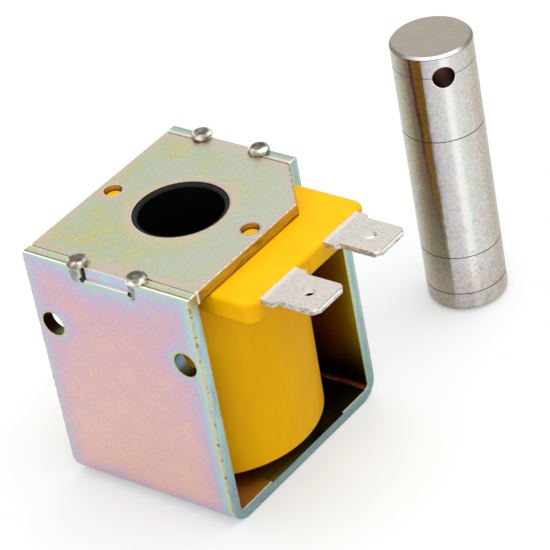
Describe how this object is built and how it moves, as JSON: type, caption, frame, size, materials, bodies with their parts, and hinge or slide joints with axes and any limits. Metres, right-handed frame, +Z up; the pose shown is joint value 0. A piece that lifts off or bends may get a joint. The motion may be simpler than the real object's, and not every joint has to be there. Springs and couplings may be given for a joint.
{
  "type": "open-frame electromagnet",
  "caption": "Open-frame electromagnet: a moulded coil in a bent steel yoke with spade terminals, and a loose steel plunger that is pulled into its bore.",
  "frame": {"origin": "on the guide bore's axis, at the underside of the yoke's base", "axes": "+Z up along the guide bore, +X the way the terminals point, -Y out of the front leg"},
  "size_m": [0.0434, 0.0652, 0.0425],
  "materials": {
    "yoke_steel": "yellow-chromated zinc, iridescent",
    "plate_steel": "yellow-chromated zinc, iridescent",
    "yellow_plastic": "satin moulded",
    "black_plastic": "satin moulded",
    "copper_wire": "enamelled",
    "clear_tape": "smooth film",
    "tinned_brass": "dull tin plate",
    "solder": "bright",
    "core_steel": "turned",
    "spring_steel": "oiled",
    "ground_steel": "centreless ground"
  },
  "bodies": {
    "frame": {"yoke_frame": "yoke_steel", "top_plate": "plate_steel", "coil_overmould": "yellow_plastic", "bobbin": "black_plastic", "winding": "copper_wire", "winding_tape": "clear_tape", "terminal_front": "tinned_brass", "terminal_rear": "tinned_brass", "lead_start": "copper_wire", "lead_finish": "copper_wire", "solder_front": "solder", "solder_rear": "solder", "pole_piece": "core_steel", "spring_washer": "spring_steel"},
    "plunger": {"plunger": "ground_steel"}
  },
  "joints": [
    {"name": "plunger_slide", "type": "slide", "parent": "frame", "child": "plunger", "axis": [0, 0, 1], "range_m": [0, 0.0269]}
  ]
}
